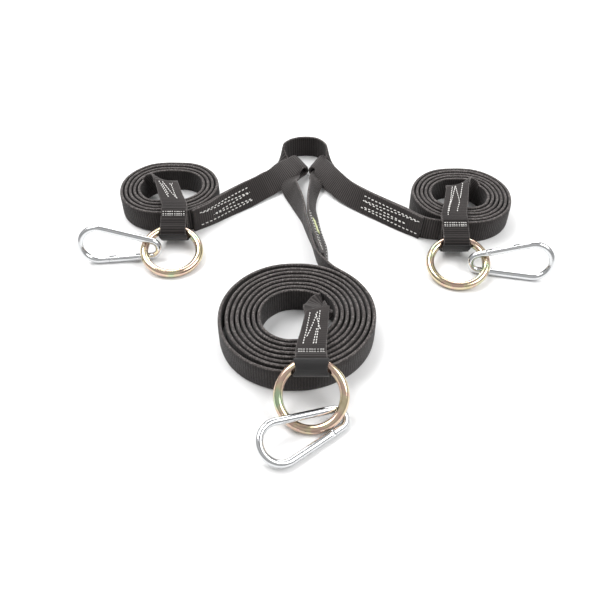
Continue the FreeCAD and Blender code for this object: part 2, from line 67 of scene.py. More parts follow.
# visible face of each arm, from the coil to the fold: lower edge, then upper edge
ARM_FACES = {
    "left": (((-117.5, 71.5, 0), (-117.8, 74, 25)), ((-103, 80.5, 0), (-105.5, 83.3, 25)),
             ((-81.4, 96.7, 0), (-87.5, 104.5, 24.2)), ((-61.8, 110.6, 1), (-71, 121, 24)),
             ((-47, 122.5, 2.6), (-58.3, 134, 22.8)), ((-34.4, 132.9, 4), (-46, 146.5, 22)),
             ((-22.2, 147.5, 9), (-35.9, 165.2, 19)), ((-11.8, 157.5, 12.4), (-26, 177.5, 15.8))),
    "right": (((124, 55, 0), (124.5, 54.5, 25)), ((105.6, 60.2, 0), (108, 62, 25)),
              ((87, 72.5, 0), (91, 77.8, 24.7)), ((69.9, 85.4, 0.3), (74.5, 92.2, 24)),
              ((49.5, 100.7, 1.2), (56, 109.8, 22.8)), ((31.6, 115.8, 2.5), (42.5, 126.5, 21.2)),
              ((16, 133.7, 6), (31, 147.5, 19.5)), ((9.3, 144, 10), (24.5, 161, 18)),
              ((4.3, 154, 14), (18.5, 174, 16))),
}
# lower layer of each eye, from the sewn part to the fold
EYE_UNDERS = {
    "left": (((-23, 146, 2.4), (-37, 163.5, 5.5)), ((-13, 156, 2.9), (-27, 177, 3.3))),
    "right": (((17.7, 135.3, 2), (32.7, 149, 14)), ((10.5, 143.5, 2.5), (25.5, 160.5, 7)),
              ((5, 152.8, 2.9), (19.5, 172.3, 3.6))),
}
# middle of each fold's outer edge and the fold's heading
FOLDS = {"left": (-8.1, 177.2, 29.2), "right": (2.4, 176.6, 153.8)}
FOLD_RADIUS, FOLD_HEIGHT = 5.05, 8.15
SLEEVE_WIDTH, SLEEVE_RADIUS, SLEEVE_THICK = 28.0, 9.85, 0.9
TACK_REACH = 11.6  # from the middle of a tab's loop to its first bar tack
SEWING_LIFT = 1.48  # from a ribbon's middle to the threads

# the front leg from its coil up the stem, round the centre loop and back: lower or outer edge, then the other
HUB = (
    ((18.3, -4.5, 0), (17.3, -4.5, 25)), ((12.5, 5, 0), (10, 5, 25)), ((8.5, 15, 0), (4.6, 14, 24.7)),
    ((4.6, 30, 0), (0.2, 29, 24.6)), ((1.6, 46, 0), (-2.2, 45, 24.7)), ((-2.4, 60, 0), (-4.8, 59, 24.9)),
    ((-5.6, 72, 0), (-7, 72, 25)), ((-9.5, 86, 0), (-7.8, 86, 25)), ((-14.5, 97.5, 0), (-9.8, 100, 24.6)),
    ((-21.5, 113, 0.5), (-13.5, 118.5, 22.7)), ((-29.5, 130, 2.5), (-15.5, 135, 17.5)),
    ((-33.5, 143, 6.5), (-13, 149.5, 10)), ((-35, 157, 8.4), (-12.5, 159, 8.2)),
    ((-37, 169, 8.2), (-15.5, 171, 8.2)), ((-37.5, 181, 5), (-26, 181, 15)),
    ((-34, 190.5, 1.5), (-30, 188, 24)), ((-25, 199.5, 0), (-23.8, 199, 25)),
    ((-14.5, 204.5, 0), (-14.2, 204, 25)),
    ((-4, 205.5, 0), (-4, 205, 25)), ((6, 203.5, 0), (5.8, 203, 25)), ((14, 197, 0), (13, 196.5, 25)),
    ((21, 187.5, 1.5), (17, 186.5, 24.3)), ((25.5, 177, 5), (15.5, 176.5, 15)),
    ((24.5, 165, 8.2), (4, 166.5, 8.2)), ((20, 155, 8.2), (0, 158.5, 9)), ((15, 147, 6.5), (-2, 149.5, 12)),
    ((9.5, 134.5, 4), (-1.6, 137, 16)), ((5, 119.5, 1.5), (-2.6, 119.5, 21)),
    ((3.8, 105, 1.5), (-3.8, 104.5, 24.2)),
    ((5.6, 90, 2), (-4.4, 88.5, 24.6)), ((8.2, 71.5, 2.6), (-3.8, 69.8, 24.5)),
    ((11, 57.5, 2.6), (-1.2, 56, 24.4)),
    ((13.6, 45.5, 2.6), (1.4, 43, 24.3)), ((14.2, 33, 2.2), (4, 30, 24.6)),
    ((13.8, 22, 1.4), (6.8, 19.5, 24.8)),
    ((13.2, 15, 0.6), (9, 13, 24.6)),
)


# ---------------------------------------------------------------- paths of flat webbing

def unit(v):
    """Vectors of length 1."""
    v = np.asarray(v, float)
    return v / np.linalg.norm(v, axis=-1, keepdims=True)


def pairs(rows):
    """Edge pairs as one array: station, edge, coordinate."""
    return np.array(rows, float)


def coil_pairs(leg):
    """The coil's centreline from its outer end inwards, standing on edge."""
    c = COILS[leg]
    radius, angle, left, on_right = c["bend"], c["start"], c["turns"] * 360.0, True
    rows, turned = [], 0.0
    while left > 0.01:
        end = -90.0 if on_right else -270.0
        sweep = min(angle - end, left)
        centre = (c["run"] / 2, 0.0) if on_right else (-c["run"] / 2, -c["pitch"] / 2)
        count = max(2, int(sweep / 6))
        for a in np.linspace(angle, angle - sweep, count, endpoint=left - sweep < 0.02):
            t = math.radians(a)
            total = turned + angle - a
            r = radius + looseness(leg, t, total / 360.0)
            x = c["x"] + c["hand"] * (centre[0] + r * math.cos(t))
            y = c["y"] + centre[1] + r * math.sin(t)
            z = 0.28 + 0.26 * math.sin(total / 57.0 + 1.3 * math.sin(total / 130.0))
            rows.append(((x, y, z), (x, y, z + WIDTH)))
        radius -= c["pitch"] / 2
        turned += sweep
        left -= sweep
        on_right = not on_right
        angle = 90.0 if on_right else -90.0
    return pairs(rows)


def looseness(leg, turn, count):
    """How far a coil's turn stands off its even spiral."""
    wave = 0.35 * math.sin(2 * turn + 0.6) + 0.22 * math.sin(3 * turn + 1.9)
    wave += 0.12 * math.sin(7 * turn + count)
    if leg == "front" and count < 1.15:
        wave += 1.5 * math.sin(math.pi * min(1.0, max(0.0, (count - 0.2) / 0.95))) ** 2
    return wave


def coil_tip(leg):
    """The coil's inner end and its outward heading there."""
    rows = coil_pairs(leg)
    last, before = rows[-1].mean(0), rows[-2].mean(0)
    return last, unit(last - before)


def rise_pairs(leg):
    """The webbing that climbs out of the coil's hole and lies down as the tab's lower layer."""
    start, inward = coil_tip(leg)
    rear, back, normal = tab_rear(leg)
    rear = rear - normal * 1.45
    final, tilt = rear.mean(0), unit(rear[1] - rear[0])
    pull = 1.15 * np.linalg.norm(final - start)
    leave, arrive = pull * inward, -pull * back
    rows = []
    for t in np.linspace(0, 1, 18)[1:-1]:
        t2, t3 = t * t, t * t * t
        p = (2 * t3 - 3 * t2 + 1) * start + (t3 - 2 * t2 + t) * leave + (3 * t2 - 2 * t3) * final
        p = p + (t3 - t2) * arrive
        slope = (6 * t2 - 6 * t) * (start - final) + (3 * t2 - 4 * t + 1) * leave + (3 * t2 - 2 * t) * arrive
        slope = unit(slope)
        ease = 3 * t2 - 2 * t3
        across = UP * (1 - ease) + tilt * ease
        across = unit(across - slope * (across @ slope))
        rows.append((p - across * WIDTH / 2, p + across * WIDTH / 2))
    return pairs(rows)


def tab_rear(leg):
    """The rear edges of a tab, the direction it lies in and its upward normal."""
    tab = TABS[leg]
    rear = pairs(tab["rear"])
    back = unit(rear.mean(0) - np.array([tab["x"], *tab["bend"]]))
    normal = unit(np.cross(back, rear[1] - rear[0]))
    return rear, back, normal * np.sign(normal[2])


def loop_centre(leg):
    """Middle of the sewn loop that holds the ring."""
    tab = TABS[leg]
    lean, roll = math.radians(tab["lean"]), math.radians(tab["roll"])
    drop = math.hypot(math.sin(roll) * math.cos(lean), math.sin(lean))
    far = np.array([0, math.cos(lean), math.sin(lean)])
    up = np.array([0, -math.sin(lean), math.cos(lean)])
    centre = np.array([tab["x"], tab["y"] + RING_RADIUS * math.cos(lean), RING_WIRE / 2 + RING_RADIUS * drop])
    return centre + far * (RING_RADIUS - 1.6) + up * tab["lift"]


def tab_line(leg, gap=1.45, reach=7.9):
    """The front of the tab in its own plane: lower layer to the ring, round it and back above, as y and z."""
    tab, eye = TABS[leg], loop_centre(leg)[1:]
    bend = np.array(tab["bend"])
    climb, flat = unit(bend - eye), unit(tab_rear(leg)[1][1:])
    side, level = np.array([-climb[1], climb[0]]), np.array([-flat[1], flat[0]])
    mid = unit(side + level)
    far = np.linalg.norm(bend - eye)
    spots = [(bend + flat * 4, level, gap), (bend, mid, gap)]
    near = [k for k in (17.5, 13.5, 10.0) if k < far - 6.5]
    for k in [far - 5] + near if far > 14.5 else near:
        spots.append((eye + climb * k, side, np.interp(k, (10, 13.5, 17.5), (gap + 2.9, gap + 0.9, gap))))
    under = [place - way * out for place, way, out in spots]
    over = [place + way * out for place, way, out in spots[::-1]]
    angles = np.radians(np.arange(48, 313, 22))
    turn = [eye + reach * (climb * math.cos(a) - side * math.sin(a)) for a in angles]
    return np.array(under + turn + over)


def tab_pairs(leg, half=WIDTH / 2):
    """The tab's edge pairs. The first edge keeps the side that the rise brings."""
    x, side = TABS[leg]["x"], -COILS[leg]["hand"]
    front = pairs([((x - side * half, y, z), (x + side * half, y, z)) for y, z in tab_line(leg)])
    rear, _, normal = tab_rear(leg)
    under, over = rear - normal * 1.45, rear + normal * 1.45
    return np.concatenate([[under, (under + front[0]) / 2], front, [(over + front[-1]) / 2, over]])


def face_normals(rows):
    """Unit normals of a ribbon's stations."""
    middle = rows.mean(1)
    along = np.gradient(middle, axis=0)
    return unit(np.cross(along, rows[:, 1] - rows[:, 0]))


def towards_viewer(rows):
    """Normals of an arm's visible face, which looks up and to the front."""
    n = face_normals(rows)
    return n * np.sign(n @ np.array([0.0, -1.0, 1.0]))[:, None]


def arm_pairs(leg):
    """One side leg from its sewn tail, round the eye and back along the arm to its coil."""
    face = pairs(ARM_FACES[leg])
    n = towards_viewer(face)[:, None, :]
    top = face - n * 1.4
    tail = 1 if leg == "right" else 0
    sewn = len(face) - len(EYE_UNDERS[leg])
    under = np.concatenate([(face - n * 4.25)[:sewn], pairs(EYE_UNDERS[leg])])
    x, y, heading = FOLDS[leg]
    out = np.array([math.cos(math.radians(heading)), math.sin(math.radians(heading)), 0])
    edge = (top[-1, 1] - top[-1, 0]) * (1, 1, 0)
    side = np.array([-out[1], out[0], 0])
    side = side * np.sign(side @ edge)
    centre = np.array([x, y, FOLD_HEIGHT]) - out * (FOLD_RADIUS + THICK / 2)
    fold = []
    for a in np.radians(np.arange(90, -91, -22.5)):
        p = centre + FOLD_RADIUS * (out * math.cos(a) + UP * math.sin(a))
        fold.append((p - side * WIDTH / 2, p + side * WIDTH / 2))
    outer = coil_pairs(leg)[:1]
    return top[tail:], pairs(fold), np.concatenate([outer, under[1:]])[::-1]


def smooth_path(rows, step=STEP):
    """A centripetal spline through the edge pairs, sampled every step of its middle line."""
    mid = rows.mean(1)
    gaps = np.linalg.norm(np.diff(mid, axis=0), axis=1)
    rows = np.concatenate([rows[:1], rows[1:][gaps > 0.05]])
    mid = rows.mean(1)
    knots = np.concatenate([[0], np.cumsum(np.linalg.norm(np.diff(mid, axis=0), axis=1))])
    slopes = np.gradient(rows, knots, axis=0)
    fine = np.concatenate([np.linspace(a, b, max(3, int((b - a) / 0.3)), endpoint=False)
                           for a, b in zip(knots[:-1], knots[1:])] + [knots[-1:]])
    fine = fine[np.concatenate([[True], np.diff(fine) > 1e-9])]
    dense = hermite(rows, slopes, knots, fine)
    for _ in range(2):
        mid = dense.mean(1)
        length = np.concatenate([[0], np.cumsum(np.linalg.norm(np.diff(mid, axis=0), axis=1))])
        count = int(round(length[-1] / step)) + 1
        spots = np.linspace(0, length[-1], count)
        dense = np.stack([[np.interp(spots, length, dense[:, e, k]) for k in range(3)] for e in range(2)])
        dense = dense.transpose(2, 0, 1)
    return dense, length[-1]


def hermite(rows, slopes, knots, at):
    """Cubic interpolation between edge pairs with given slopes."""
    i = np.clip(np.searchsorted(knots, at, side="right") - 1, 0, len(knots) - 2)
    h = (knots[i + 1] - knots[i])[:, None, None]
    t = ((at - knots[i]) / (knots[i + 1] - knots[i]))[:, None, None]
    t2, t3 = t * t, t * t * t
    return ((2 * t3 - 3 * t2 + 1) * rows[i] + (t3 - 2 * t2 + t) * h * slopes[i]
            + (3 * t2 - 2 * t3) * rows[i + 1] + (t3 - t2) * h * slopes[i + 1])


# ---------------------------------------------------------------- meshes

def new_mesh(name, points, faces, smooth=True):
    """A mesh object from layout millimetres."""
    mesh = bpy.data.meshes.new(name)
    mesh.from_pydata(((np.asarray(points) - ORIGIN) / 1000.0).tolist(), [], faces)
    mesh.validate()
    mesh.polygons.foreach_set("use_smooth", [smooth] * len(mesh.polygons))
    obj = bpy.data.objects.new(name, mesh)
    bpy.context.collection.objects.link(obj)
    return obj


def tube_faces(rings, around):
    """Faces of a closed skin over rings of points, capped at both ends."""
    i = np.arange(rings - 1)[:, None] * around
    j = np.arange(around)[None, :]
    k = (j + 1) % around
    quads = np.stack([i + j, i + k, i + around + k, i + around + j], axis=-1).reshape(-1, 4).tolist()
    caps = [list(range(around))[::-1], [(rings - 1) * around + q for q in range(around)]]
    return quads + caps


def store(obj, name, values):
    """Keeps a number at each vertex as a named attribute."""
    layer = obj.data.attributes.new(name, "FLOAT", "POINT")
    layer.data.foreach_set("value", np.asarray(values, np.float32).ravel())


def section_spots():
    """Round the band's section: share of the half width, share of the half thickness, edge mark."""
    over = [(v, 1.0 - 0.12 * abs(v) ** 4, 0.0) for v in (-0.9, -0.5, 0.0, 0.5, 0.9)]
    right = [(0.985, 0.62, 1.0), (1.0, 0.0, 1.0), (0.985, -0.62, 1.0)]
    under = [(v, -b, e) for v, b, e in over[::-1]]
    left = [(-v, -b, e) for v, b, e in right]
    return over + right + under + left


def blur(values, width):
    """A running mean over a ribbon's stations."""
    width = min(width, len(values))
    return np.convolve(values, np.ones(width) / width, mode="same")


def ribbon(name, rows, thick=THICK, rib_depth=1.0, full=0.0, ribs=RIB):
    """A woven band along edge pairs, with cross ribs and beaded selvedges, and masks for painted shade in the
    rib grooves and painted highlights on the rib crests. full thickens its curled part.
    """
    path, length = smooth_path(rows)
    middle, across = path.mean(1), path[:, 1] - path[:, 0]
    half = np.linalg.norm(across, axis=1) / 2
    across = unit(across)
    along = unit(np.gradient(middle, axis=0))
    normal = unit(np.cross(along, across))
    bend = np.linalg.norm(np.gradient(along, STEP, axis=0), axis=1)
    bend += np.linalg.norm(np.gradient(across, STEP, axis=0), axis=1)
    bend = blur(bend, 25)
    run = np.arange(len(path)) * STEP
    upright = blur(np.abs(across[:, 2]) > 0.999, 60) ** 2
    deep = (thick + full * upright) / 2
    pace = np.linalg.norm(np.gradient(path, STEP, axis=0), axis=2).min(1)
    even = blur(np.clip(3.2 * pace - 2.2, 0, 1), 25)
    groove = (0.5 - 0.5 * np.cos(2 * np.pi * run / ribs)) * even
    depth = rib_depth * np.clip(0.2 + 8.0 * bend, 0, 0.46) * groove
    bead = 0.2 * rib_depth * np.cos(4 * np.pi * run / ribs + 0.9)
    swell = np.sin(run / 9.0) * 0.05 + np.sin(run / 3.7 + 1.0) * 0.04
    sewn = np.clip((length - 95 - run) / 20, 0.25, 1)
    # painted highlight: rib crests paler where the band bends, weaker on faces standing on edge and on the
    # sewn end
    crest_highlight_mask = (even - groove) * np.clip(bend * 60, 0, 1) * (1 - 0.75 * upright) * sewn
    lines, marks, groove_shades, crest_highlights = [], [], [], []
    for v, b, edge in section_spots():
        out = half * v + np.sign(v) * edge * bead * 0.7
        off = deep * b - np.sign(b) * (1 - edge) * depth + swell * 0.5 + edge * bead * 0.5
        lines.append(middle + across * out[:, None] + normal * off[:, None])
        marks.append(np.full(len(run), np.sign(v) if edge else v * 0.95))
        # painted shade: the rib grooves, kept to darken their colour
        groove_shades.append(groove * (1 - edge))
        # painted highlight: the rib crests, kept to lighten their colour
        crest_highlights.append(crest_highlight_mask * (1 - edge))
    points = np.stack(lines, axis=1)
    points[:, :, 2] = np.maximum(points[:, :, 2], 0.03)
    around = points.shape[1]
    obj = new_mesh(name, points.reshape(-1, 3), tube_faces(len(run), around))
    store(obj, "side", np.stack(marks, axis=1))
    # painted shade mask: rib grooves, stronger where the band bends
    store(obj, "groove_shade", np.stack(groove_shades, axis=1) * (0.6 + 0.4 * np.clip(bend * 28, 0, 1))[:, None])
    # painted highlight mask: rib crests at bends
    store(obj, "crest_highlight", np.stack(crest_highlights, axis=1))
    store(obj, "run", np.repeat(run, around))
    obj["length"] = float(length)
    return obj, (path, normal)


def on_path(path, s, v, lift):
    """A point and its frame on a ribbon: s along in millimetres, v across from -1 to 1."""
    rows, normal = path
    i = min(max(s / STEP, 0.0), len(rows) - 1.001)
    k, f = int(i), i - int(i)
    pair = rows[k] * (1 - f) + rows[k + 1] * f
    n = unit(normal[k])
    return pair.mean(0) + (pair[1] - pair[0]) * v / 2 + n * lift, n


def nearest_run(path, point, first=0.0, last=1e9):
    """The length along a ribbon at which its middle passes nearest to a point."""
    middle = path[0].mean(1)
    run = np.arange(len(middle)) * STEP
    gap = np.linalg.norm(middle - np.asarray(point, float), axis=1)
    gap[(run < first) | (run > last)] = 1e9
    return float(run[np.argmin(gap)])


def capsule(start, end, normal, radius):
    """One thread of a stitch: a slim pill pressed into the cloth."""
    axis = unit(end - start)
    side = unit(np.cross(normal, axis))
    length = np.linalg.norm(end - start)
    points = []
    for t, w in ((0.0, 0.35), (0.12, 0.85), (0.5, 1.0), (0.88, 0.85), (1.0, 0.35)):
        centre = start + axis * length * t + normal * (radius * 0.35 * (w - 0.5))
        for a in np.arange(6) * math.pi / 3:
            points.append(centre + radius * w * (side * math.cos(a) * 1.1 + normal * math.sin(a) * 0.8))
    return points, tube_faces(5, 6)


def threads(name, path, lines, lift, body, dash=2.0, gap=1.1, radius=0.4):
    """Sewing on a ribbon: polylines of (s, v) drawn as rows of stitches."""
    points, faces = [], []
    for line in lines:
        spots = np.array(line, float)
        steps = np.linalg.norm(np.diff(spots * (1, WIDTH / 2), axis=0), axis=1)
        lengths = np.concatenate([[0], np.cumsum(steps)])
        at = 0.0
        while at + dash <= lengths[-1] + 0.01:
            ends = []
            for d in (at, at + dash):
                s, v = (np.interp(d, lengths, spots[:, k]) for k in range(2))
                ends.append(on_path(path, s, v + 0.02 * math.sin(5.0 * d + 3.0 * s), lift))
            more, skin = capsule(ends[0][0], ends[1][0], ends[0][1] * np.sign(lift), radius)
            faces += [[len(points) + k for k in face] for face in skin]
            points += more
            at += dash + gap
    obj = new_mesh(name, points, faces)
    obj.data.materials.append(THREAD)
    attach(obj, body)
    return obj


# ---------------------------------------------------------------- materials

def material(name, **sockets):
    """A new node material with the shader's plain sockets set."""
    mat = bpy.data.materials.new(name)
    mat.use_nodes = True
    shader = mat.node_tree.nodes["Principled BSDF"]
    for key, value in sockets.items():
        shader.inputs[key.replace("_", " ")].default_value = value
    return mat, mat.node_tree, shader


def node(tree, kind, **values):
    """A shader node with its attributes or inputs set."""
    made = tree.nodes.new("ShaderNode" + kind)
    for key, value in values.items():
        if hasattr(made, key):
            setattr(made, key, value)
        else:
            made.inputs[key.replace("_", " ")].default_value = value
    return made


def attribute(tree, name):
    """The value of a piece's named attribute."""
    return node(tree, "Attribute", attribute_name=name).outputs["Fac"]


def math_node(tree, operation, a, b=None, clamp=False):
    """One math node and its output."""
    made = node(tree, "Math", operation=operation, use_clamp=clamp)
    for i, value in enumerate((a, b)):
        if value is None:
            continue
        if isinstance(value, (int, float)):
            made.inputs[i].default_value = value
        else:
            tree.links.new(value, made.inputs[i])
    return made.outputs[0]


def mix(tree, factor, a, b, blend="MIX"):
    """A colour mix of two colours or sockets."""
    made = node(tree, "Mix", data_type="RGBA", blend_type=blend)
    for slot, value in ((0, factor), (6, a), (7, b)):
        if hasattr(value, "links"):
            tree.links.new(value, made.inputs[slot])
        else:
            made.inputs[slot].default_value = value
    return made.outputs[2]


def noise(tree, scale, detail=2.0, vector=None, **values):
    """A noise texture and its value."""
    made = node(tree, "TexNoise", Scale=scale, Detail=detail, **values)
    tree.links.new(vector or node(tree, "TexCoord").outputs["Object"], made.inputs["Vector"])
    return made.outputs["Fac"]


def span(tree, value, low, high, to_low=0.0, to_high=1.0):
    """A value mapped from one range to another, clamped."""
    made = node(tree, "MapRange")
    tree.links.new(value, made.inputs["Value"])
    for key, number in zip(("From Min", "From Max", "To Min", "To Max"), (low, high, to_low, to_high)):
        made.inputs[key].default_value = number
    return made.outputs["Result"]


def bump(tree, shader, height, strength, distance):
    """Fine relief on a shader."""
    made = node(tree, "Bump", Strength=strength, Distance=distance)
    tree.links.new(height, made.inputs["Height"])
    tree.links.new(made.outputs["Normal"], shader.inputs["Normal"])


def cloth_vector(tree):
    """Length along the webbing, distance across it, in millimetres."""
    combine = node(tree, "CombineXYZ")
    tree.links.new(attribute(tree, "run"), combine.inputs[0])
    tree.links.new(math_node(tree, "MULTIPLY", attribute(tree, "side"), WIDTH / 2), combine.inputs[1])
    return combine.outputs[0]


def webbing_material(name, base, ridge, fleck_and_crest_highlight):
    """Black woven webbing: cross ribs with painted shade in their grooves and painted highlights on their
    crests where the band bends, fine yarns, paler worn selvedges with flecks.
    """
    mat, tree, shader = material(name, Roughness=0.78, Sheen_Weight=0.16, Sheen_Roughness=0.45,
                                 Specular_IOR_Level=0.22)
    vector = cloth_vector(tree)
    stretch = node(tree, "Mapping", Scale=(2.4, 7.0, 1.0))
    tree.links.new(vector, stretch.inputs["Vector"])
    yarn = noise(tree, 0.55, 3.0, stretch.outputs["Vector"])
    patch = noise(tree, 0.05, 2.0, vector)
    colour = mix(tree, span(tree, yarn, 0.3, 0.7), base, ridge)
    worn = tuple(c * 0.72 for c in base[:3]) + (1,)
    colour = mix(tree, span(tree, patch, 0.3, 0.7, 0.0, 0.35), colour, worn)
    # painted shade: rib grooves darkened almost to black, more where the band bends
    groove_shade = attribute(tree, "groove_shade")
    colour = mix(tree, math_node(tree, "MULTIPLY", groove_shade, 0.92), colour, (0.004, 0.0036, 0.0036, 1))
    # painted highlight: rib crests at bends mixed toward the fleck colour, which the real flecks on the worn
    # selvedges also use
    crest_highlight = math_node(tree, "POWER", attribute(tree, "crest_highlight"), 2.0)
    colour = mix(tree, math_node(tree, "MULTIPLY", crest_highlight, 0.42), colour, fleck_and_crest_highlight)
    edge = span(tree, math_node(tree, "ABSOLUTE", attribute(tree, "side")), 0.9, 0.97)
    colour = mix(tree, math_node(tree, "MULTIPLY", edge, 0.5), colour, (0.07, 0.062, 0.06, 1))
    speck = span(tree, noise(tree, 850.0, 2.0), 0.5, 0.64)
    colour = mix(tree, math_node(tree, "MULTIPLY", edge, speck), colour, fleck_and_crest_highlight)
    tree.links.new(colour, shader.inputs["Base Color"])
    wave = node(tree, "TexWave", wave_type="BANDS", bands_direction="Y", Scale=0.55, Distortion=0.6)
    tree.links.new(vector, wave.inputs["Vector"])
    height = math_node(tree, "ADD", math_node(tree, "MULTIPLY", wave.outputs["Fac"], 0.5), yarn)
    bump(tree, shader, height, 0.55, 0.0003)
    tree.links.new(span(tree, yarn, 0.3, 0.7, 0.7, 0.88), shader.inputs["Roughness"])
    return mat


def sleeve_material():
    """Smooth dark wear sleeve: a close plain weave with a soft shine."""
    mat, tree, shader = material("dark_sleeve", Roughness=0.5, Sheen_Weight=0.1, Specular_IOR_Level=0.4)
    vector = cloth_vector(tree)
    weave = node(tree, "TexChecker", Scale=1.6)
    tree.links.new(vector, weave.inputs["Vector"])
    grain = noise(tree, 1.2, 3.0, vector)
    colour = mix(tree, grain, (0.005, 0.0046, 0.0048, 1), (0.015, 0.0135, 0.014, 1))
    tree.links.new(colour, shader.inputs["Base Color"])
    bump(tree, shader, math_node(tree, "ADD", weave.outputs["Fac"], grain), 0.35, 0.0002)
    return mat


def thread_material():
    """White polyester thread, slightly twisted and soiled."""
    mat, tree, shader = material("white_thread", Roughness=0.55, Sheen_Weight=0.2)
    grain = noise(tree, 900.0, 2.0)
    tree.links.new(mix(tree, grain, (0.62, 0.6, 0.57, 1), (0.9, 0.89, 0.87, 1)), shader.inputs["Base Color"])
    bump(tree, shader, noise(tree, 2600.0, 1.0), 0.3, 0.0001)
    return mat


def label_material():
    """Plain yellow-green woven label with a dark border."""
    mat, tree, shader = material("woven_label", Roughness=0.62, Sheen_Weight=0.15)
    vector = cloth_vector(tree)
    patch = span(tree, noise(tree, 0.32, 2.0, vector), 0.42, 0.56)
    colour = mix(tree, patch, (0.33, 0.36, 0.08, 1), (0.72, 0.76, 0.42, 1))
    edge = span(tree, math_node(tree, "ABSOLUTE", attribute(tree, "side")), 0.8, 0.9)
    tree.links.new(mix(tree, edge, colour, (0.06, 0.07, 0.03, 1)), shader.inputs["Base Color"])
    bump(tree, shader, noise(tree, 2.2, 2.0, vector), 0.4, 0.0002)
    return mat


def ring_material():
    """Yellow zinc plate: gold with faint pink and green bloom, fine scuffs."""
    mat, tree, shader = material("yellow_zinc", Metallic=1.0, Roughness=0.2,
                                 Coat_Weight=0.25, Coat_Roughness=0.08)
    where = noise(tree, 55.0, 2.0)
    ramp = node(tree, "ValToRGB")
    tree.links.new(where, ramp.inputs["Fac"])
    stops = ((0.3, (0.58, 0.5, 0.3)), (0.42, (0.66, 0.56, 0.38)), (0.5, (0.64, 0.44, 0.36)),
             (0.6, (0.66, 0.57, 0.38)), (0.7, (0.46, 0.58, 0.38)))
    while len(ramp.color_ramp.elements) < len(stops):
        ramp.color_ramp.elements.new(0.5)
    for element, (place, colour) in zip(ramp.color_ramp.elements, stops):
        element.position, element.color = place, colour + (1,)
    tree.links.new(ramp.outputs["Color"], shader.inputs["Base Color"])
    tree.links.new(span(tree, noise(tree, 240.0, 3.0), 0.3, 0.7, 0.12, 0.26), shader.inputs["Roughness"])
    bump(tree, shader, noise(tree, 700.0, 2.0), 0.06, 0.0002)
    return mat


def hook_material(name, base, low, high):
    """Bright zinc plate with fine scuffs."""
    mat, tree, shader = material(name, Metallic=1.0, Roughness=0.2)
    cloud = noise(tree, 90.0, 3.0)
    colour = mix(tree, cloud, tuple(c * 0.88 for c in base) + (1,), base + (1,))
    tree.links.new(colour, shader.inputs["Base Color"])
    tree.links.new(span(tree, noise(tree, 400.0, 3.0), 0.3, 0.7, low, high), shader.inputs["Roughness"])
    bump(tree, shader, noise(tree, 1300.0, 2.0), 0.05, 0.0002)
    return mat


WEBBING = webbing_material("black_webbing", (0.011, 0.009, 0.0088, 1), (0.062, 0.052, 0.05, 1),
                           (0.16, 0.145, 0.14, 1))
SLEEVE = sleeve_material()
THREAD = thread_material()
LABEL = label_material()
RING = ring_material()
HOOK = hook_material("bright_zinc", (0.7, 0.71, 0.72), 0.1, 0.2)
PIN = hook_material("dull_steel", (0.6, 0.6, 0.6), 0.25, 0.4)


# ---------------------------------------------------------------- pieces

STRAPS = {}


def add_strap(leg, rows, nodes):
    """One continuous strap of webbing in place of a leg's solids."""
    obj, path = ribbon(leg + "_webbing", rows, full=0.55)
    obj.data.materials.append(WEBBING)
    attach(obj, leg + "_leg")
    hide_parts(*nodes)
    STRAPS[leg] = path
    return obj


def make_straps():
    """The three straps, each from its sewn tail through its coil to its ring tab."""
    for leg in ("left", "right"):
        rows = join([*arm_pairs(leg), coil_pairs(leg), rise_pairs(leg), tab_pairs(leg)])
        nodes = [leg + end for end in ("_strap_arm", "_strap_eye", "_strap_coil", "_strap_rise", "_ring_tab")]
        add_strap(leg, rows, nodes)
    rows = join([pairs(HUB)[::-1], coil_pairs("front"), rise_pairs("front"), tab_pairs("front")])
    ends = ("_strap_stem", "_strap_eye", "_strap_coil", "_strap_rise", "_ring_tab")
    nodes = ["front" + end for end in ends]
    add_strap("front", rows, nodes)


def join(groups):
    """Groups of edge pairs in one list, each turned so that its edges carry on from the last."""
    out = groups[0]
    for rows in groups[1:]:
        last = out[-1, 1] - out[-1, 0]
        first = rows[0, 1] - rows[0, 0]
        if last @ first < 0:
            rows = rows[:, ::-1]
        out = np.concatenate([out, rows])
    return out


def make_sleeve(leg):
    """The wear sleeve round the sewn loop, wider than the webbing and narrower at its tip."""
    tab, eye = TABS[leg], loop_centre(leg)[1:]
    climb = unit(np.array(tab["bend"]) - eye)
    side = np.array([-climb[1], climb[0]])
    rows = []
    for degrees in range(48, 241, 8):
        turn = math.radians(degrees)
        y, z = eye + SLEEVE_RADIUS * (climb * math.cos(turn) - side * math.sin(turn))
        half = SLEEVE_WIDTH / 2 - 2.0 * math.exp(-((degrees - 190) / 24.0) ** 2)
        rows.append(((tab["x"] - half, y, z), (tab["x"] + half, y, z)))
    obj, path = ribbon(leg + "_sleeve_cloth", pairs(rows), thick=SLEEVE_THICK, rib_depth=0.25)
    obj.data.materials.append(SLEEVE)
    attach(obj, leg + "_leg")
    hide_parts(leg + "_wear_sleeve")
    return path


# sewing on each tab: (share of the way from the bar tacks to the rear end, place across)
TAB_SEWING = {
    "front": [((0.2, -0.55), (0.93, -0.6)), ((0.2, 0.3), (0.98, 0.2)), ((0.36, -0.42), (0.95, 0.05)),
              ((0.5, 0.42), (0.9, -0.15)), ((0.2, 0.12), (0.55, 0.16))],
    "left": [((0.46, -0.28), (0.62, -0.4), (0.98, -0.72)), ((0.42, 0.36), (0.96, -0.42)),
             ((0.42, 0.36), (0.84, 0.3), (0.95, 0.08)), ((0.84, 0.3), (0.95, 0.48)),
              ((0.55, -0.2), (0.9, -0.5))],
    "right": [((0.2, -0.5), (0.96, -0.46)), ((0.5, -0.42), (0.96, -0.2), (0.52, 0.28), (0.26, 0.2)),
              ((0.62, 0.32), (1.0, 0.42)), ((0.3, -0.42), (0.6, -0.44))],
}
# sewing on each arm: two points on its row
ARM_SEWING = {"left": ((-110.5, 75), (-62, 118)), "right": ((103, 60.5), (51, 104.5))}


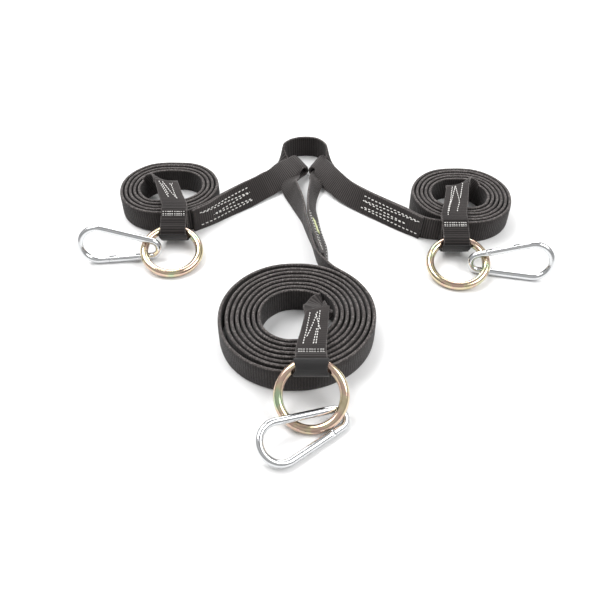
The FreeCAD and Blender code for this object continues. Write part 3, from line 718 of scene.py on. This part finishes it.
def sew_tab(leg):
    """White stitches and bar tacks on a tab's upper layer."""
    path = STRAPS[leg]
    end = (len(path[0]) - 1) * STEP
    eye = loop_centre(leg)
    bend = np.array([eye[0], *TABS[leg]["bend"]])
    tack = nearest_run(path, eye + unit(bend - eye) * TACK_REACH + UP * 2, first=end - 75)
    hand = -COILS[leg]["hand"]
    lines = [[(tack + (end - tack) * u, hand * v) for u, v in line] for line in TAB_SEWING[leg]]
    lift = side_lift(path, end - 20, UP)
    tacks = [[(tack + k, -0.86), (tack + k, 0.86)] for k in (0.0, 2.0, 4.2)]
    threads(leg + "_bar_tacks", path, tacks, lift + 0.25 * np.sign(lift), leg + "_leg", 1.5, 0.7, 0.34)
    threads(leg + "_tab_stitches", path, lines, lift, leg + "_leg")


def side_lift(path, s, way):
    """Distance of the sewing from a ribbon's middle, on the face that looks a given way."""
    return SEWING_LIFT * float(np.sign(on_path(path, s, 0, 0)[1] @ np.asarray(way, float)))


def sew_arm(leg):
    """Two rows and a long zigzag through both layers of an arm."""
    path = STRAPS[leg]
    near, far = (nearest_run(path, (*p, 12.5), last=130) for p in ARM_SEWING[leg])
    lines = [[(near, 0.56), (far, 0.52)], [(near, -0.56), (far, -0.5)]]
    lines += [[(near + 3, 0.5), (far, 0.12), (near + 14, -0.12), (far, -0.42)]]
    lift = side_lift(path, near, (0, -1, 0.3))
    threads(leg + "_arm_stitches", path, lines, lift, leg + "_leg", 2.7, 1.9, 0.5)


def sew_stem():
    """Rows of stitches on the tail of the front leg."""
    path = STRAPS["front"]
    near, far = (nearest_run(path, p, last=150) for p in ((10, 20, 12), (2, 80, 13)))
    lift = side_lift(path, near, (1, 0, 0.2))
    lines = [[(near, 0.88), (far, 0.9)], [(near + 3, 0.5), (far, 0.72)], [(near, -0.62), (far, -0.6)]]
    threads("front_stem_stitches", path, lines, lift, "front_leg", 1.8, 2.2, 0.36)


def make_label():
    """The small label sewn to the tail of the front leg."""
    path = STRAPS["front"]
    s = nearest_run(path, (5.0, 60.0, 13.5), last=120)
    rows = []
    for d in np.linspace(-10, 10, 11):
        lower, n = on_path(path, s + d, 0.05, 0)
        upper, _ = on_path(path, s + d, 0.65, 0)
        out = n * np.sign(n[0]) * (1.75 + 0.15 * math.sin(d * 0.7))
        rows.append((lower + out, upper + out))
    obj, _ = ribbon("front_label_cloth", pairs(rows), thick=0.5, rib_depth=0.1)
    obj.data.materials.append(LABEL)
    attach(obj, "front_leg")
    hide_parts("front_label")


def dress_metal():
    """Procedural metal on the rings and hooks kept from the CAD."""
    looks = {"_ring": RING, "_hook_body": HOOK, "_hook_gate": HOOK, "_gate_rivet": PIN, "_latch_pin": PIN,
             "_gate_spring": PIN, "_gate_plunger": PIN}
    for leg in COILS:
        for end, mat in looks.items():
            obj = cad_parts[leg + end]
            for held in obj.material_slots:
                held.material = mat


# ---------------------------------------------------------------- floor, light and camera

def make_stage():
    """A plain pale floor."""
    mesh = bpy.data.meshes.new("floor")
    mesh.from_pydata([(-8, -8, 0), (8, -8, 0), (8, 8, 0), (-8, 8, 0)], [], [(0, 1, 2, 3)])
    floor = bpy.data.objects.new("floor", mesh)
    bpy.context.collection.objects.link(floor)
    floor.location.z = -0.0002
    mat, _, _ = material("floor_paper", Roughness=0.75, Base_Color=(0.86, 0.86, 0.86, 1))
    mesh.materials.append(mat)


def area_light(name, place, aim, size, power):
    """A rectangular lamp aimed at a point."""
    data = bpy.data.lights.new(name, "AREA")
    data.shape, data.size, data.size_y, data.energy = "RECTANGLE", size[0], size[1], power
    lamp = bpy.data.objects.new(name, data)
    lamp.location = place
    lamp.rotation_euler = (Vector(aim) - Vector(place)).to_track_quat("-Z", "Y").to_euler()
    bpy.context.collection.objects.link(lamp)


def make_light():
    """Soft studio light: three lamps and a pale world."""
    area_light("key", (-0.9, 0.5, 1.7), (0, 0, 0), (1.4, 1.0), 34)
    area_light("fill", (1.2, -0.3, 1.5), (0, 0, 0), (1.2, 1.0), 20)
    area_light("back", (0.1, 1.7, 1.1), (0, 0, 0), (1.8, 0.7), 22)
    world = bpy.data.worlds.new("studio")
    world.use_nodes = True
    tree = world.node_tree
    split = node(tree, "SeparateXYZ")
    tree.links.new(node(tree, "TexCoord").outputs["Generated"], split.inputs[0])
    ramp = node(tree, "ValToRGB")
    tree.links.new(split.outputs["Z"], ramp.inputs["Fac"])
    shades = ((0.0, 0.9), (0.03, 0.85), (0.3, 0.6), (0.5, 0.8), (0.85, 0.9), (1.0, 0.45))
    while len(ramp.color_ramp.elements) < len(shades):
        ramp.color_ramp.elements.new(0.5)
    for element, (place, shade) in zip(ramp.color_ramp.elements, shades):
        element.position, element.color = place, (shade, shade, shade, 1)
    tree.links.new(ramp.outputs["Color"], tree.nodes["Background"].inputs["Color"])
    tree.nodes["Background"].inputs["Strength"].default_value = 0.7
    bpy.context.scene.world = world
    bpy.context.scene.view_settings.view_transform = "Standard"


def make_camera():
    """The camera at the product view's angle."""
    data = bpy.data.cameras.new("camera")
    data.lens, data.sensor_width, data.clip_end = 43.45, 36.0, 50.0
    camera = bpy.data.objects.new("camera", data)
    camera.location = (-0.01223, -0.48963, 0.4757)
    camera.rotation_euler = (math.radians(90 - 45.7), 0, 0)
    bpy.context.collection.objects.link(camera)
    bpy.context.scene.camera = camera


make_camera()
make_straps()
for leg in COILS:
    make_sleeve(leg)
    sew_tab(leg)
for leg in ARM_SEWING:
    sew_arm(leg)
sew_stem()
make_label()
dress_metal()
make_stage()
make_light()
